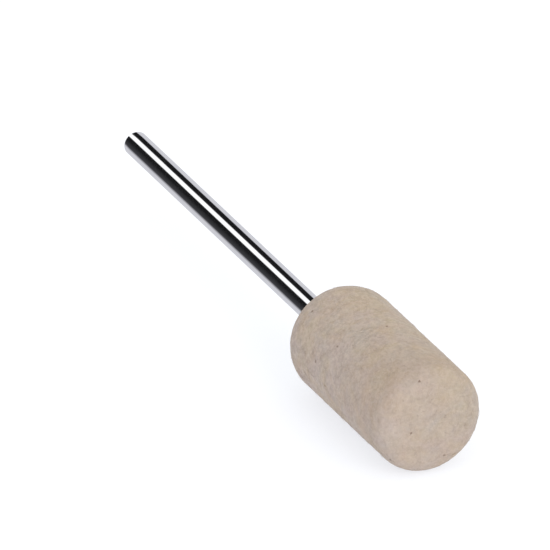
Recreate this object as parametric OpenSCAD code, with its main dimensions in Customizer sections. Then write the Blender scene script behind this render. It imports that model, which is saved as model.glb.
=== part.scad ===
// Cylindrical felt polishing head on a straight steel shank, for a rotary tool.
//
// The shank's axis lies along Y. The origin is on that axis, where the shank leaves the
// felt. +Y runs out along the shank, and the flat working face of the felt looks along -Y.
// Every piece is drawn along +Z, with the felt below zero, and laid_along_y() turns it.

/* [Felt head] */
// Diameter of the felt head
head_d = 14.2; // [9:0.1:40]
// Length of the felt head
head_len = 28.5; // [20:0.5:80]
// Radius of the edge around the flat working face
nose_r = 2.1; // [0.3:0.1:4]
// Radius of the rounded shoulder on the shank's side
shoulder_r = 4.6; // [0.3:0.1:8]

/* [Steel shank] */
// Diameter of the shank, 1/8 inch
shank_d = 3.175; // [2.35:0.005:6.35]
// Length of shank that stands out of the felt
stick_out = 55.5; // [20:0.5:90]
// Chamfer on each end of the shank
shank_chamfer = 0.3; // [0.1:0.05:0.8]

/* [Keyed end, inside the felt] */
// Length of shank that is glued into the felt
key_len = 14.5; // [8:0.5:18]
// Number of rings turned into the keyed end
ring_count = 4; // [2:1:5]
// Width of each ring
ring_w = 1; // [0.8:0.1:1.4]
// Depth of each ring
ring_depth = 0.3; // [0.2:0.05:0.5]
// Number of straight flutes that stop the shank from turning in the felt
flute_count = 12; // [6:1:16]
// Depth of each flute
flute_depth = 0.2; // [0.1:0.05:0.25]

/* [Glue] */
// Thickness of glue between the shank and the wall of the drilled hole
glue_gap = 0.2; // [0.05:0.05:0.4]
// Depth of glue between the shank's inner end and the end of the hole's straight wall
glue_under = 0.8; // [0.2:0.1:2]
// Height of the bead of glue that stands round the shank at the hole's mouth
bead_h = 0.15; // [0.05:0.05:0.15]

/* [Hidden] */
$fn = 96;

// Point angle of the twist drill that made the hole
drill_point = 118;
// Flat felt that is always left round the hole's mouth and in the middle of the working face
least_land = 0.1;
// How far a cutting shape runs past the surface that it cuts
over = 1;

head_r = head_d / 2;
shank_r = shank_d / 2;
shank_len = stick_out + key_len;
ring_pitch = key_len / ring_count;
hole_r = shank_r + glue_gap;
hole_len = key_len + glue_under;
drill_tip = hole_r / tan(drill_point / 2);
// Each rounded edge is limited by the flat that it runs into
shoulder = min(shoulder_r, head_r - hole_r - least_land, head_len / 2);
nose = min(nose_r, head_r - least_land, head_len - shoulder);

module laid_along_y() {
    rotate([-90, 0, 0]) children();
}

// A round bar that stands on z = 0, with a chamfer at each end
module chamfered_bar(r, len, chamfer) {
    rotate_extrude()
        polygon([
            [0, 0],
            [r - chamfer, 0],
            [r, chamfer],
            [r, len - chamfer],
            [r - chamfer, len],
            [0, len]
        ]);
}

// The first ring starts at the felt's mouth, where it holds a collar of glue
module key_rings() {
    for (i = [0 : ring_count - 1])
        translate([0, 0, -i * ring_pitch - ring_w])
            rotate_extrude()
                translate([shank_r - ring_depth, 0])
                    square([ring_depth + over, ring_w]);
}

// V-shaped flutes, from the middle of the first ring to past the shank's inner end
module key_flutes() {
    side = flute_depth * sqrt(2);
    len = key_len - ring_w / 2 + over;
    for (i = [0 : flute_count - 1])
        rotate(i * 360 / flute_count)
            translate([shank_r, 0, -ring_w / 2 - len])
                rotate(45)
                    linear_extrude(len)
                        square(side, center = true);
}

module keyed_bar() {
    difference() {
        translate([0, 0, -key_len]) chamfered_bar(shank_r, shank_len, shank_chamfer);
        key_rings();
        key_flutes();
    }
}

// The blind hole's straight wall and the cone that the drill's point left. It can run on above zero.
module drilled_hole(above = 0) {
    rotate_extrude()
        polygon([
            [0, above],
            [hole_r, above],
            [hole_r, -hole_len],
            [0, -hole_len - drill_tip]
        ]);
}

// What rounding takes off the square corner at [r, 0] of an outline that lies to its lower left
module corner_waste(r, radius) {
    translate([r - radius, -radius])
        difference() {
            square(radius + over);
            circle(radius);
        }
}

// Half outline of the head in the plane of radius and height, with its mouth at height zero
module head_outline() {
    difference() {
        translate([0, -head_len]) square([head_r, head_len]);
        corner_waste(head_r, shoulder);
        translate([0, -head_len]) mirror([0, 1]) corner_waste(head_r, nose);
    }
}

module felt_head() {
    color("#c8b9a6")
        laid_along_y()
            difference() {
                rotate_extrude() head_outline();
                drilled_hole(above = over);
            }
}

module steel_shank() {
    color("#d4d6da") laid_along_y() keyed_bar();
}

module glue_bond() {
    color("#c9a24e")
        laid_along_y()
            difference() {
                union() {
                    drilled_hole();
                    cylinder(r1 = hole_r, r2 = shank_r, h = bead_h);
                }
                keyed_bar();
            }
}

felt_head();
steel_shank();
glue_bond();
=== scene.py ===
"""Looks of a mounted felt polishing bob: matted wool felt on a bright ground steel shank.

The spin axis lies along Y, the working face looks along -Y, and lengths are in metres. The overall sizes come
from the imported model's boxes. What no box shows is given below: edge radii, chamfer, drill point,
rings and flutes.
"""

import math

import bpy
import numpy as np
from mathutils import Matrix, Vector, noise


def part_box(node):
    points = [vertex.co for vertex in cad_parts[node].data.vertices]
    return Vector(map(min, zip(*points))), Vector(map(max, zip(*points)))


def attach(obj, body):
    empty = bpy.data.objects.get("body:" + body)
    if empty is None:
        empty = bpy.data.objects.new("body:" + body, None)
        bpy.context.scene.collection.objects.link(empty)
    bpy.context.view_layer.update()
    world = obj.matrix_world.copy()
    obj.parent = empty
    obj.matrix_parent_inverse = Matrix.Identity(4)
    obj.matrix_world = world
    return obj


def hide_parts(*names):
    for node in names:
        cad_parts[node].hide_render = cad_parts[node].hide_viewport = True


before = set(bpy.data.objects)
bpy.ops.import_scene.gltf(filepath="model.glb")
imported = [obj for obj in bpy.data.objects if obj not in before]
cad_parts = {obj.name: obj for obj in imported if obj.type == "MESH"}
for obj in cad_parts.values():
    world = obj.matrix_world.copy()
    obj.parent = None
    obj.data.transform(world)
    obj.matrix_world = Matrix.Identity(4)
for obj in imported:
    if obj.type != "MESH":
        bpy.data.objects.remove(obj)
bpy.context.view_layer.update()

MM = 0.001
FIBRE_SEED = 20

# ---------------------------------------------------------------- sizes

head_low, head_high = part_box("felt_head")
shank_low, shank_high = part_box("steel_shank")
glue_low, glue_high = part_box("glue_bond")

HEAD_R = head_high.z
HEAD_LEN = head_high.y - head_low.y
SHANK_R = shank_high.z
HOLE_R = glue_high.z
DRILL_POINT = math.radians(118)
DRILL_TIP = HOLE_R / math.tan(DRILL_POINT / 2)
HOLE_LEN = -glue_low.y - DRILL_TIP
NOSE_R = 2.1 * MM
SHOULDER_R = 4.6 * MM
SHANK_CHAMFER = 0.3 * MM
RING_COUNT = 4
RING_PITCH = -shank_low.y / RING_COUNT
RING_W = 1.0 * MM
RING_DEPTH = 0.3 * MM
FLUTE_COUNT = 12
FLUTE_DEPTH = 0.2 * MM


# ---------------------------------------------------------------- the felt head's surface

def head_segments():
    """The outline's stretches, from the hole's edge to the middle of the working face.

    Each is (length, kind, radius, height): a flat facing back or front or a straight side from that point,
    or a quarter round about it.
    """
    back_flat = HEAD_R - SHOULDER_R - HOLE_R
    side = HEAD_LEN - SHOULDER_R - NOSE_R
    front_flat = HEAD_R - NOSE_R
    return [
        (back_flat, "back", HOLE_R, 0.0),
        (SHOULDER_R * math.pi / 2, "shoulder", HEAD_R - SHOULDER_R, -SHOULDER_R),
        (side, "side", HEAD_R, -SHOULDER_R),
        (NOSE_R * math.pi / 2, "nose", HEAD_R - NOSE_R, NOSE_R - HEAD_LEN),
        (front_flat, "front", front_flat, -HEAD_LEN),
    ]


def head_outline(u):
    """Radius, height, and the normal's two parts, at the distances u along the outline."""
    rounding_error = 1e-12
    u = np.asarray(u, float)
    out = np.zeros((4,) + u.shape)
    start = 0.0
    for length, kind, r0, y0 in head_segments():
        here = (u >= start) & (u <= start + length + rounding_error)
        d = u[here] - start
        zero = np.zeros_like(d)
        if kind == "back":
            out[:, here] = r0 + d, y0 + zero, zero, zero + 1
        elif kind == "side":
            out[:, here] = r0 + zero, y0 - d, zero + 1, zero
        elif kind == "front":
            out[:, here] = r0 - d, y0 + zero, zero, zero - 1
        else:
            radius = SHOULDER_R if kind == "shoulder" else NOSE_R
            turn = d / radius + (0 if kind == "shoulder" else math.pi / 2)
            nr, ny = np.sin(turn), np.cos(turn)
            out[:, here] = r0 + radius * nr, y0 + radius * ny, nr, ny
        start += length
    return out


OUTLINE_LEN = sum(length for length, _, _, _ in head_segments())


def head_points(u, angle, height=0.0):
    """Points on the head, or at some height above it, and the normals there."""
    r, y, nr, ny = head_outline(u)
    c, s = np.cos(angle), np.sin(angle)
    normals = np.stack([nr * c, ny, nr * s], axis=-1)
    points = np.stack([r * c, y, r * s], axis=-1) + normals * np.asarray(height)[..., None]
    return points, normals


def ease(x, low, high):
    """0 below low, 1 above high, and smooth between."""
    t = np.clip((x - low) / (high - low), 0, 1)
    return t * t * (3 - 2 * t)


# The felt's patterns: how fine each is, and its height in millimetres
LUMPS_PER_MM, LUMP_HEIGHT = 0.22, 0.045
CLUMPS_PER_MM, CLUMP_HEIGHT = 0.9, 0.022
PEBBLES_PER_MM, PEBBLE_HEIGHT = 1.8, 0.020
RELIEF_SUNK = 0.03
SWIRL = 0.7
PEBBLE_SHIFT = Vector((7, 3, 5))
SWIRL_SHIFTS = [Vector((9.3, -1.5, -7.9)), Vector((0, 0, 0)), Vector((6.3, 11.1, -3.7))]


def felt_relief(p):
    """Height of matted felt at a point: soft lumps, clumps of matted wool, and a fine pebbled grain.

    It lies a little low, so that the loose fibres end near the drawn outline.
    """
    v = Vector(p) / MM
    # Three plain calls, because noise_vector gives other values from one run to the next
    swirl = Vector([noise.noise(v * CLUMPS_PER_MM + shift) for shift in SWIRL_SHIFTS]) * SWIRL
    lumps = noise.noise(v * LUMPS_PER_MM)
    clumps = noise.noise((v + swirl) * CLUMPS_PER_MM)
    pebbles = noise.noise((v + swirl * 0.5) * PEBBLES_PER_MM + PEBBLE_SHIFT)
    return (LUMP_HEIGHT * lumps + CLUMP_HEIGHT * clumps + PEBBLE_HEIGHT * pebbles - RELIEF_SUNK) * MM


# ---------------------------------------------------------------- meshes

def make_object(name, verts, faces, material):
    mesh = bpy.data.meshes.new(name)
    mesh.from_pydata([tuple(v) for v in verts], [], faces)
    mesh.validate()
    mesh.polygons.foreach_set("use_smooth", [True] * len(mesh.polygons))
    mesh.materials.append(material)
    obj = bpy.data.objects.new(name, mesh)
    bpy.context.scene.collection.objects.link(obj)
    return obj


def ring_faces(rings, count, start=None, end=None):
    """Quads between rings of count points each, and fans to the points start and end where they are given."""
    faces = []
    for i in range(rings - 1):
        a, b = i * count, (i + 1) * count
        faces += [(a + j, a + (j + 1) % count, b + (j + 1) % count, b + j) for j in range(count)]
    if start is not None:
        faces += [(start, (j + 1) % count, j) for j in range(count)]
    if end is not None:
        last = (rings - 1) * count
        faces += [(last + j, last + (j + 1) % count, end) for j in range(count)]
    return faces


def round_ring(radius, y, c, s):
    """Points of one ring about the axis, from the cosines and sines of their angles."""
    return np.stack([radius * c, np.full(len(c), y), radius * s], axis=-1)


def build_felt_head(material):
    """The felt as one closed solid: matted outside, and the plain drilled hole inside."""
    step = 0.15 * MM
    around = 300
    mouth_margin = 0.6 * MM
    angle = np.arange(around) * 2 * math.pi / around
    rows = np.linspace(0, OUTLINE_LEN - step, int(OUTLINE_LEN / step))
    u, a = np.meshgrid(rows, angle, indexing="ij")
    points, normals = head_points(u, a)
    relief = np.array([felt_relief(p) for p in points.reshape(-1, 3)]).reshape(u.shape)
    points += normals * (relief * ease(u, 0, mouth_margin))[..., None]

    c, s = np.cos(angle), np.sin(angle)
    wall = [round_ring(HOLE_R, y, c, s) for y in (-HOLE_LEN, -HOLE_LEN / 2)]
    verts = np.concatenate([np.array(wall), points]).reshape(-1, 3)
    rings = len(wall) + len(rows)
    tip, middle = len(verts), len(verts) + 1
    verts = np.concatenate([verts, [[0, -HOLE_LEN - DRILL_TIP, 0], [0, -HEAD_LEN, 0]]])
    return make_object("felt_head_matted", verts, ring_faces(rings, around, tip, middle), material)


def map_fibres(mesh, knots, sides):
    """Gives each fibre a cell of its own in a texture map, so that a texture baked through it keeps each
    fibre's own colour.

    A cell is knots + 1 columns wide: one for each end's cap, and the tube's rings of faces between them. The
    export keeps a map with the name OFBake.
    """
    margin = 0.06
    columns = knots + 1
    tube = [
        ((i, j), (i, j + 1), (i + 1, j + 1), (i + 1, j)) for i in range(1, knots) for j in range(sides)
    ]
    caps = [((i, 0), (i + 1, 0), (i + 0.5, sides)) for i in (0, knots)]
    corners = np.array([corner for face in tube + caps for corner in face]) / (columns, sides)
    fibres = len(mesh.vertices) // (knots * sides)
    across = math.ceil(math.sqrt(fibres))
    cells = np.array([(k % across, k // across) for k in range(fibres)])
    places = (cells[:, None, :] + margin + (1 - 2 * margin) * corners) / across
    mesh.uv_layers.new(name="OFBake").uv.foreach_set("vector", places.astype(np.float32).ravel())


def unit(vectors):
    """The same vectors at length one, and a vector of no length as it was."""
    return vectors / (np.linalg.norm(vectors, axis=1)[:, None] + 1e-12)


def build_fuzz(material):
    """Single wool fibres half sunk in the felt, a few of them with an end that stands off: closed tubes."""
    rng = np.random.default_rng(FIBRE_SEED)
    count = 7000
    knots, sides = 5, 3
    loose_share, flat_lift = 0.12, 0.006
    most_turn, sunk, taper = 1.8, 0.3, 0.6
    mouth_margin, middle_margin = 0.05 * MM, 0.3 * MM
    least_r = 1 * MM
    corner = np.arange(sides) * 2 * math.pi / sides
    share = np.linspace(0, 1, knots)
    verts, faces, shades = [], [], []
    # Start points spread evenly over the area: a try is kept in proportion to the radius there
    tries = rng.uniform(0, OUTLINE_LEN - middle_margin, count * 3)
    kept = tries[rng.uniform(0, HEAD_R, len(tries)) < head_outline(tries)[0]][:count]
    for u0 in kept:
        length = rng.uniform(0.6, 2.2) * MM
        radius = rng.uniform(0.007, 0.013) * MM
        loose = rng.uniform() < loose_share
        lift = (rng.uniform(0.04, 0.20) if loose else rng.exponential(flat_lift)) * MM
        heading = rng.uniform(0, 2 * math.pi) + rng.uniform(-most_turn, most_turn) * share
        du = np.cumsum(np.cos(heading)) * length / knots
        us = np.clip(u0 + du, mouth_margin, OUTLINE_LEN - middle_margin)
        around = np.cumsum(np.sin(heading)) * length / knots / np.maximum(head_outline(us)[0], least_r)
        angles = rng.uniform(0, 2 * math.pi) + around
        height = lift * share**1.5 - sunk * radius
        line, normals = head_points(us, angles, height)
        line += normals * np.array([felt_relief(p) for p in line])[:, None]
        along = unit(np.gradient(line, axis=0))
        across = unit(np.cross(along, normals))
        up = np.cross(along, across)
        radii = radius * (1 - taper * np.abs(2 * share - 1) ** 3)
        spokes = across[:, None, :] * np.cos(corner)[None, :, None]
        spokes = spokes + up[:, None, :] * np.sin(corner)[None, :, None]
        rings = line[:, None, :] + radii[:, None, None] * spokes
        base = len(verts)
        verts.extend(rings.reshape(-1, 3))
        faces += [tuple(base + k for k in face) for face in ring_faces(knots, sides)]
        faces.append(tuple(base + k for k in reversed(range(sides))))
        faces.append(tuple(base + (knots - 1) * sides + k for k in range(sides)))
        shades += [rng.uniform(0, 1)] * (knots * sides)
    fuzz = make_object("felt_fuzz", verts, faces, material)
    shade = fuzz.data.attributes.new("shade", "FLOAT", "POINT")
    shade.data.foreach_set("value", np.array(shades, np.float32))
    map_fibres(fuzz.data, knots, sides)
    return fuzz


def soften(corners, cut=0.04 * MM, steps=4):
    """An open outline of (radius, height) corners, with each corner bridged by a short curve."""
    corners = [np.array(c, float) for c in corners]
    share = np.linspace(0, 1, steps)[:, None]
    out = [corners[0][None]]
    for before, corner, after in zip(corners, corners[1:], corners[2:]):
        a = corner + (before - corner) * min(0.5, cut / np.linalg.norm(before - corner))
        b = corner + (after - corner) * min(0.5, cut / np.linalg.norm(after - corner))
        out.append((1 - share) ** 2 * a + 2 * share * (1 - share) * corner + share**2 * b)
    return np.concatenate(out + [corners[-1][None]])


def divide(outline, longest=1.5 * MM):
    """The same outline with no gap between points longer than that."""
    out = []
    for a, b in zip(outline, outline[1:]):
        parts = math.ceil(np.linalg.norm(b - a) / longest)
        out += [a + (b - a) * k / parts for k in range(parts)]
    return np.array(out + [outline[-1]])


def keyed_corners():
    """Corners of the bar's keyed end, from the felt's mouth to the middle of the inner end."""
    corners = []
    for i in range(RING_COUNT):
        top = -i * RING_PITCH
        corners += [(SHANK_R, top), (SHANK_R - RING_DEPTH, top)]
        corners += [(SHANK_R - RING_DEPTH, top - RING_W), (SHANK_R, top - RING_W)]
    end = shank_low.y
    return corners + [(SHANK_R, end + SHANK_CHAMFER), (SHANK_R - SHANK_CHAMFER, end), (0, end)]


def flute_floor(angle):
    """Radius left by the V-shaped flutes at an angle."""
    pitch = 2 * math.pi / FLUTE_COUNT
    from_flute = np.abs((angle + pitch / 2) % pitch - pitch / 2) * SHANK_R
    return SHANK_R - np.maximum(0, FLUTE_DEPTH - from_flute)


def build_lathe(name, outline, material, keyed, ragged=None, around=192):
    """A closed form turned from an outline that starts and ends on the axis.

    keyed says for each point of the outline whether the flutes cut it, and ragged gives how far each point's
    radius swells and dips round the axis.
    """
    sharp_from = math.radians(35)
    swells, slice_at = 2, 3.0
    angle = np.arange(around) * 2 * math.pi / around
    c, s = np.cos(angle), np.sin(angle)
    wander = np.array([noise.noise(Vector((swells * x, swells * z, slice_at))) for x, z in zip(c, s)])
    rings = []
    for i in range(1, len(outline) - 1):
        radius = np.full(around, outline[i][0])
        if keyed[i]:
            radius = np.minimum(radius, flute_floor(angle))
        if ragged is not None:
            radius = radius + ragged[i] * wander
        rings.append(round_ring(radius, outline[i][1], c, s))
    verts = np.concatenate(rings)
    start, end = len(verts), len(verts) + 1
    verts = np.concatenate([verts, [[0, outline[0][1], 0], [0, outline[-1][1], 0]]])
    piece = make_object(name, verts, ring_faces(len(rings), around, start, end), material)
    piece.data.set_sharp_from_angle(angle=sharp_from)
    return piece


def build_shank(material):
    """The bar: ground round, a softened chamfer at each end, and rings and flutes that key it in the glue."""
    end = shank_high.y
    corners = [(0, end), (SHANK_R - SHANK_CHAMFER, end), (SHANK_R, end - SHANK_CHAMFER)]
    outline = divide(soften(corners + keyed_corners()))
    keyed = outline[:, 1] < -RING_W / 2
    return build_lathe("steel_shank_ground", outline, material, keyed)


def build_glue(material):
    """The glue: a cavity for the keyed bar, a bead at the mouth, and the drilled hole's shape outside."""
    climb, soak = 0.30 * MM, 0.16 * MM
    dip, unevenness, rim = 0.02 * MM, 0.12 * MM, 0.05 * MM
    inside = divide(soften(keyed_corners()))[::-1]
    share = np.linspace(0, 1, 9)[1:]
    bead_r = SHANK_R + (HOLE_R + soak - SHANK_R) * share
    bead = np.stack([bead_r, climb * (1 - share) ** 2 - dip * share], axis=-1)
    top = [(SHANK_R, climb)]
    wall = [(HOLE_R, -rim), (HOLE_R, -HOLE_LEN), (0, -HOLE_LEN - DRILL_TIP)]
    outline = np.concatenate([inside, top, bead, divide(np.array(wall))])
    keyed = (np.arange(len(outline)) < len(inside)) & (outline[:, 1] < -RING_W / 2)
    ragged = np.zeros(len(outline))
    first = len(inside) + len(top)
    ragged[first:first + len(bead)] = unevenness * share
    return build_lathe("glue_bead_and_bond", outline, material, keyed, ragged)


# ---------------------------------------------------------------- materials

class Nodes:
    """Short ways to add and join shader nodes."""

    def __init__(self, name):
        self.material = bpy.data.materials.new(name)
        self.material.use_nodes = True
        self.tree = self.material.node_tree
        self.shader = self.tree.nodes["Principled BSDF"]

    def add(self, kind, inputs=None, **settings):
        node = self.tree.nodes.new(kind)
        for key, value in settings.items():
            setattr(node, key, value)
        for key, value in (inputs or {}).items():
            self.put(node.inputs[key], value)
        return node

    def put(self, socket, value):
        """Joins an output to the socket, or sets the socket's own value."""
        if isinstance(value, bpy.types.NodeSocket):
            self.tree.links.new(value, socket)
        else:
            socket.default_value = value

    def set(self, **inputs):
        """Sets inputs of the Principled shader, with _ for each space of a name."""
        for key, value in inputs.items():
            self.put(self.shader.inputs[key.replace("_", " ")], value)

    def place(self, move=(0, 0, 0)):
        """The object's own coordinates, in millimetres and moved."""
        coords = self.add("ShaderNodeTexCoord").outputs["Object"]
        inputs = {"Vector": coords, "Scale": (1 / MM,) * 3, "Location": move}
        return self.add("ShaderNodeMapping", inputs).outputs["Vector"]

    def noise(self, vector, scale, detail=2.0, roughness=0.5, distortion=0.0):
        inputs = {
            "Vector": vector,
            "Scale": scale,
            "Detail": detail,
            "Roughness": roughness,
            "Distortion": distortion,
        }
        return self.add("ShaderNodeTexNoise", inputs).outputs["Fac"]

    def ramp(self, value, stops):
        """Colours along a ramp. The first two stops are its ends, and any others lie between."""
        node = self.add("ShaderNodeValToRGB", {"Fac": value})
        elements = node.color_ramp.elements
        for i, (position, colour) in enumerate(stops):
            stop = elements[i] if i < 2 else elements.new(position)
            stop.position = position
            stop.color = (*colour, 1)
        return node.outputs["Color"]

    def math(self, operation, a, b=0.0):
        return self.add("ShaderNodeMath", {0: a, 1: b}, operation=operation).outputs[0]

    def spread(self, value, low, high, to_low=0.0, to_high=1.0):
        """Maps low..high to to_low..to_high, and stops at both ends."""
        inputs = {"Value": value, "From Min": low, "From Max": high, "To Min": to_low, "To Max": to_high}
        return self.add("ShaderNodeMapRange", inputs).outputs["Result"]

    def mix(self, share, a, b, blend="MIX"):
        """A mix of two colours, by the node's colour sockets."""
        colour_a, colour_b, result = 6, 7, 2
        node = self.add("ShaderNodeMix", {"Factor": share}, data_type="RGBA", blend_type=blend)
        for socket, value in ((colour_a, a), (colour_b, b)):
            whole = value if isinstance(value, bpy.types.NodeSocket) else (*value, 1)
            self.put(node.inputs[socket], whole)
        return node.outputs[result]

    def bump(self, height, distance, strength):
        inputs = {"Height": height, "Distance": distance, "Strength": strength}
        return self.add("ShaderNodeBump", inputs).outputs["Normal"]


WOOL_COOL = (0.394, 0.333, 0.308)
WOOL_WARM = (0.416, 0.323, 0.230)
WOOL_DEEP = (0.290, 0.223, 0.172)
WOOL_PALE = (0.525, 0.434, 0.359)
# Colour of the painted shade on the side behind the working edge
WOOL_PAINTED_SHADE = (0.368, 0.263, 0.176)
LINT = (0.634, 0.550, 0.479)
SPECK = (0.11, 0.06, 0.035)
# Tints that multiply a wool colour
GREENISH = (0.967, 1.016, 1.000)
REDDISH = (1.033, 0.984, 1.000)
PINKISH = (1.000, 0.998, 1.038)
YELLOWISH = (1.000, 1.000, 0.955)


def fibre_net(n, place, scale, move):
    """Thin curly lines that cross like matted fibres: 1 along a fibre, 0 beside it."""
    line_width = 0.045
    moved = n.add("ShaderNodeVectorMath", {0: place, 1: (move, -move, move)}, operation="ADD").outputs[0]
    field = n.noise(moved, scale, detail=1, distortion=2.2)
    ridge = n.math("ABSOLUTE", n.math("SUBTRACT", field, 0.5))
    return n.spread(ridge, line_width, 0.0)


def speck_mask(n, place):
    """Small dark burrs scattered in the wool, with ragged outlines: a share in a speck, 0 outside."""
    specks_per_mm, raggedness, most = 0.42, 0.35, 0.7
    scatter = n.add("ShaderNodeTexNoise", {"Vector": place, "Scale": 5.0}).outputs["Color"]
    inputs = {0: scatter, "Scale": raggedness}
    ragged = n.add("ShaderNodeVectorMath", inputs, operation="SCALE").outputs[0]
    moved = n.add("ShaderNodeVectorMath", {0: place, 1: ragged}, operation="ADD").outputs[0]
    distance = n.add("ShaderNodeTexVoronoi", {"Vector": moved, "Scale": specks_per_mm}).outputs["Distance"]
    return n.spread(distance, 0.09, 0.045, 0, most)


def felt_material():
    """Matted wool: drifts of colour, clumps, a grain with painted shade in its dips, painted light towards
    one side, painted shade behind the working edge, fibres and specks.
    """
    n = Nodes("pressed_felt")
    place = n.place()
    parts = n.add("ShaderNodeSeparateXYZ", {0: place}).outputs
    edge_start, edge_end = -28.3, -26.0

    def face_to_side(on_face, on_side):
        """A value that changes round the working edge."""
        return n.spread(parts["Y"], edge_start, edge_end, on_face, on_side)

    def across_axis(z_share, x_share):
        """Millimetres along a direction across the axis."""
        return n.math("ADD", n.math("MULTIPLY", parts["Z"], z_share), n.math("MULTIPLY", parts["X"], x_share))

    def mixed(colour, mask, most, other):
        """The colour with the other mixed in where the mask is, up to the share most."""
        return n.mix(n.math("MULTIPLY", mask, most), colour, other)

    def tinted(colour, share, a, b):
        """The colour multiplied by a mix of two tints."""
        return n.mix(1.0, colour, n.mix(share, a, b), blend="MULTIPLY")

    # Drifts of colour in the wool: cool to warm, and greenish to reddish, stronger on the side
    low, high = face_to_side(0.34, 0.42), face_to_side(0.66, 0.58)
    warmth = n.noise(place, scale=0.22, detail=4, roughness=0.68, distortion=0.4)
    tint = n.mix(n.spread(warmth, low, high), WOOL_COOL, WOOL_WARM)
    blush = n.noise(n.place(move=(31, 17, 53)), scale=0.25, detail=4, roughness=0.75, distortion=0.4)
    tint = tinted(tint, n.spread(blush, low, high), GREENISH, REDDISH)

    # Light and dark: clumps of matted wool, then the grain, both weaker on the cut working face. The grain is
    # partly painted shade: darker in the dips of the bumped pebbles and lighter on their tops
    matting = n.noise(place, scale=0.5, detail=5, roughness=0.72, distortion=0.8)
    clumped = face_to_side(0.42, 0.62)
    tint = mixed(tint, n.spread(matting, 0.5, 0.72), clumped, WOOL_PALE)
    tint = mixed(tint, n.spread(matting, 0.5, 0.28), clumped, WOOL_DEEP)
    # Painted shade and light: these pebbles also drive the bump below, so the grain is darker in their dips
    # and lighter on their tops; the flecks are random tone
    pebbles = n.noise(place, scale=1.8, distortion=0.4)
    flecks = n.noise(place, scale=2.6, roughness=0.6)
    grain = n.math("ADD", n.math("MULTIPLY", pebbles, 0.5), n.math("MULTIPLY", flecks, 0.5))
    coarse = face_to_side(0.30, 0.58)
    tint = mixed(tint, n.spread(grain, 0.5, 0.62), coarse, WOOL_PALE)
    tint = mixed(tint, n.spread(grain, 0.5, 0.38), coarse, WOOL_DEEP)

    # Painted light: the wool is lighter towards one side, up and to -X, with a broad random wander, and
    # yellower towards another, up and to +X. Painted shade darkens and browns the side behind the working
    # edge
    most_wander, pale_reach, yellow_reach = 9.0, 7.0, 6.0
    broad = n.noise(place, scale=0.16, distortion=0.5)
    wander = n.math("MULTIPLY", n.math("SUBTRACT", broad, 0.5), most_wander)
    to_pale = across_axis(0.76, -0.65)
    to_yellow = across_axis(0.65, 0.76)
    drift = n.math("SUBTRACT", to_pale, n.math("MULTIPLY", to_yellow, face_to_side(0.7, 0.0)))
    painted_light = n.spread(n.math("ADD", drift, wander), -pale_reach, pale_reach)
    # Painted light: lighter towards up and -X, more strongly on the working face
    tint = mixed(tint, painted_light, face_to_side(0.30, 0.20), WOOL_PALE)
    # Painted warm light: yellower towards up and +X
    tint = tinted(tint, n.spread(to_yellow, -yellow_reach, yellow_reach), PINKISH, YELLOWISH)
    # Painted shade: the side grows darker and browner from about 15 mm back towards the working edge, more
    # towards up and +X, and stops at the edge's rounding
    fades_back = n.spread(n.math("ADD", parts["Y"], wander), -15.0, -25.0)
    fades_at_edge = n.spread(parts["Y"], -27.8, -26.3)
    painted_shade = n.math("MULTIPLY", fades_back, fades_at_edge)
    tint = mixed(tint, painted_shade, n.spread(to_yellow, -yellow_reach, yellow_reach, 0.22, 0.42), WOOL_PAINTED_SHADE)

    nets = [fibre_net(n, place, scale, move) for scale, move in ((2.4, 0.0), (3.6, 5.0), (5.2, 9.0))]
    mat = n.math("MAXIMUM", n.math("MAXIMUM", nets[0], nets[1]), nets[2])
    tint = mixed(tint, mat, 0.3, LINT)
    tint = n.mix(speck_mask(n, place), tint, SPECK)
    # The pebbles in this bump are the same noise as the painted shade and light in the grain's colour
    height = n.math("ADD", n.math("MULTIPLY", mat, 0.5), n.math("MULTIPLY", pebbles, 1.5))
    n.set(
        Base_Color=tint,
        Roughness=n.spread(matting, 0.3, 0.7, 0.98, 0.86),
        Normal=n.bump(height, distance=0.03 * MM, strength=0.6),
        IOR=1.4,
        Specular_IOR_Level=0.25,
        Sheen_Weight=0.2,
        Sheen_Roughness=0.5,
        Sheen_Tint=(0.9, 0.84, 0.76, 1),
    )
    return n.material


def fuzz_material():
    """Single wool fibres: mostly pale, a few dark, each by its own shade."""
    n = Nodes("wool_fibre")
    shade = n.add("ShaderNodeAttribute", attribute_name="shade").outputs["Fac"]
    along = n.noise(n.place(), scale=2.5)
    colour = n.ramp(shade, [(0.0, WOOL_DEEP), (1.0, LINT), (0.08, WOOL_COOL), (0.55, WOOL_PALE)])
    n.set(
        Base_Color=n.mix(n.spread(along, 0.3, 0.7, 0, 0.3), colour, WOOL_PALE),
        Roughness=n.spread(along, 0.3, 0.7, 0.85, 0.7),
        Specular_IOR_Level=0.3,
        Sheen_Weight=0.2,
    )
    return n.material


def steel_material():
    """Bright ground steel, with fine grinding lines round the bar and turning lines on its end faces."""
    lines_along, lines_across = 22.0, 9.0
    n = Nodes("bright_steel")
    place = n.place()
    parts = n.add("ShaderNodeSeparateXYZ", {0: place}).outputs
    across = n.add("ShaderNodeCombineXYZ", {"X": parts["X"], "Z": parts["Z"]}).outputs[0]
    radius = n.add("ShaderNodeVectorMath", {0: across}, operation="LENGTH").outputs["Value"]
    along_bar = n.math("MULTIPLY", parts["Y"], lines_along)
    across_end = n.math("MULTIPLY", radius, lines_across)
    inputs = {"W": n.math("ADD", along_bar, across_end), "Scale": 1.0, "Detail": 2.0}
    lines = n.add("ShaderNodeTexNoise", inputs, noise_dimensions="1D").outputs["Fac"]
    haze = n.noise(place, scale=0.5, detail=3)
    n.set(
        Metallic=1.0,
        Base_Color=n.mix(n.spread(haze, 0.35, 0.65), (0.86, 0.865, 0.885), (0.91, 0.91, 0.92)),
        Roughness=n.spread(haze, 0.3, 0.7, 0.05, 0.085),
        Normal=n.bump(lines, distance=0.002 * MM, strength=0.25),
    )
    return n.material


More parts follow.
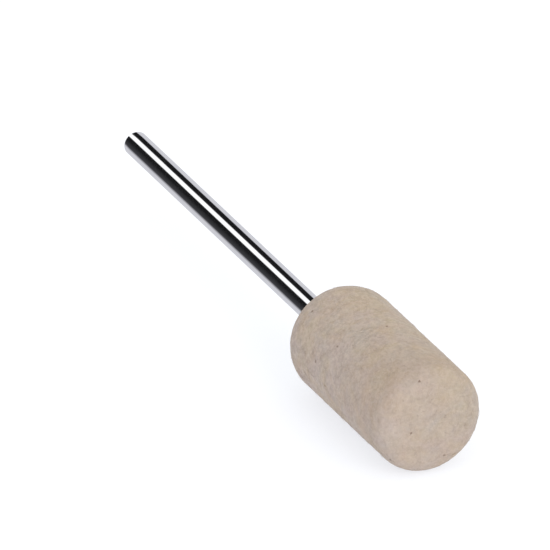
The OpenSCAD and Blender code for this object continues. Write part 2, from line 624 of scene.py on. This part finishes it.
def glue_material():
    """Amber resin, slightly cloudy."""
    n = Nodes("cured_glue")
    cloud = n.noise(n.place(), scale=1.5, detail=3)
    n.set(
        Base_Color=n.mix(cloud, (0.42, 0.26, 0.09), (0.58, 0.40, 0.18)),
        Roughness=n.spread(cloud, 0.3, 0.7, 0.18, 0.34),
        Normal=n.bump(cloud, distance=0.02 * MM, strength=0.3),
        Subsurface_Weight=0.2,
        Subsurface_Radius=(0.4 * MM, 0.25 * MM, 0.1 * MM),
        Subsurface_Scale=1.0,
        Coat_Weight=0.3,
    )
    return n.material


# ---------------------------------------------------------------- the studio

def build_floor():
    """A pale matt floor that glows a little, so that it reads as white right up to the contact shadow."""
    half = 3.0
    z = head_low.z
    verts = [(-half, -half, z), (half, -half, z), (half, half, z), (-half, half, z)]
    n = Nodes("studio_floor")
    n.set(
        Base_Color=(0.4, 0.4, 0.4, 1),
        Roughness=1.0,
        Specular_IOR_Level=0.0,
        Emission_Color=(0.95, 0.98, 1.04, 1),
        Emission_Strength=0.66,
    )
    floor = make_object("studio_floor", verts, [(0, 1, 2, 3)], n.material)
    floor.visible_glossy = False


def build_world():
    """An even white tent, with bands that only glossy surfaces show.

    The bands run along Y: a strip light overhead, black flags beside it, and pale grey below.
    """
    world = bpy.data.worlds.new("tent")
    bpy.context.scene.world = world
    world.use_nodes = True
    tree = world.node_tree
    tree.nodes.clear()

    def add(kind, **settings):
        node = tree.nodes.new(kind)
        for key, value in settings.items():
            setattr(node, key, value)
        return node

    link = tree.links.new
    split = add("ShaderNodeSeparateXYZ")
    link(add("ShaderNodeTexCoord").outputs["Generated"], split.inputs[0])
    turn = add("ShaderNodeMath", operation="ARCTAN2")
    link(split.outputs["Z"], turn.inputs[0])
    link(split.outputs["X"], turn.inputs[1])
    share = add("ShaderNodeMath", operation="DIVIDE")
    link(turn.outputs[0], share.inputs[0])
    share.inputs[1].default_value = 2 * math.pi
    wrap = add("ShaderNodeMath", operation="FRACT")
    link(share.outputs[0], wrap.inputs[0])

    pale, black, white = (0.66, 0.66, 0.70), (0.010, 0.010, 0.011), (1.14, 1.14, 1.14)
    dark = (0.055, 0.055, 0.060)
    # Angles from +X up towards +Z, in degrees
    bands = [
        (0, pale), (36, pale), (41, black), (85, black), (90, white), (122, white), (126, black),
        (154, black), (203, dark), (227, pale), (360, pale),
    ]
    ramp = add("ShaderNodeValToRGB")
    link(wrap.outputs[0], ramp.inputs["Fac"])
    stops = ramp.color_ramp.elements
    while len(stops) < len(bands):
        stops.new(0.5)
    for stop, (degrees, colour) in zip(stops, bands):
        stop.position = degrees / 360
        stop.color = (*colour, 1)
    mirror = add("ShaderNodeBackground")
    link(ramp.outputs["Color"], mirror.inputs["Color"])
    tent = add("ShaderNodeBackground")
    tent.inputs["Color"].default_value = (1, 1, 1, 1)
    mix = add("ShaderNodeMixShader")
    link(add("ShaderNodeLightPath").outputs["Is Glossy Ray"], mix.inputs[0])
    link(tent.outputs[0], mix.inputs[1])
    link(mirror.outputs[0], mix.inputs[2])
    link(mix.outputs[0], add("ShaderNodeOutputWorld").inputs["Surface"])


def build_key_light():
    """One large soft, slightly warm light in front of the working face, above it and a little to +X."""
    direction = Vector((0.15, -0.85, 0.45)).normalized()
    distance, side = 0.8, 0.5
    data = bpy.data.lights.new("key_light", "AREA")
    data.shape = "SQUARE"
    data.size = side
    data.color = (1, 0.96, 0.92)
    data.energy = math.pi * distance**2
    light = bpy.data.objects.new("key_light", data)
    light.location = direction * distance
    light.rotation_euler = direction.to_track_quat("Z", "Y").to_euler()
    light.visible_glossy = False
    bpy.context.scene.collection.objects.link(light)


def build_camera():
    """A long lens far off, in front of the working face, above it and to -X."""
    azimuth, elevation = math.radians(-25.7), math.radians(27.0)
    target = Vector((-0.04, 15.34, 0.01)) * MM
    view_width = 67.4 * MM
    data = bpy.data.cameras.new("camera")
    data.lens = 1500
    data.clip_start = 0.01
    data.clip_end = 100
    back = Vector((
        math.sin(azimuth) * math.cos(elevation),
        -math.cos(azimuth) * math.cos(elevation),
        math.sin(elevation),
    ))
    camera = bpy.data.objects.new("camera", data)
    camera.location = target + back * (view_width * data.lens / data.sensor_width)
    camera.rotation_euler = back.to_track_quat("Z", "Y").to_euler()
    bpy.context.scene.collection.objects.link(camera)
    bpy.context.scene.camera = camera


build_camera()
build_world()
build_key_light()
build_floor()
bpy.context.scene.view_settings.view_transform = "Standard"

felt = build_felt_head(felt_material())
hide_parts("felt_head")
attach(felt, "root")

fuzz = build_fuzz(fuzz_material())
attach(fuzz, "root")

shank = build_shank(steel_material())
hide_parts("steel_shank")
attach(shank, "root")

glue = build_glue(glue_material())
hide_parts("glue_bond")
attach(glue, "root")

bpy.context.view_layer.update()
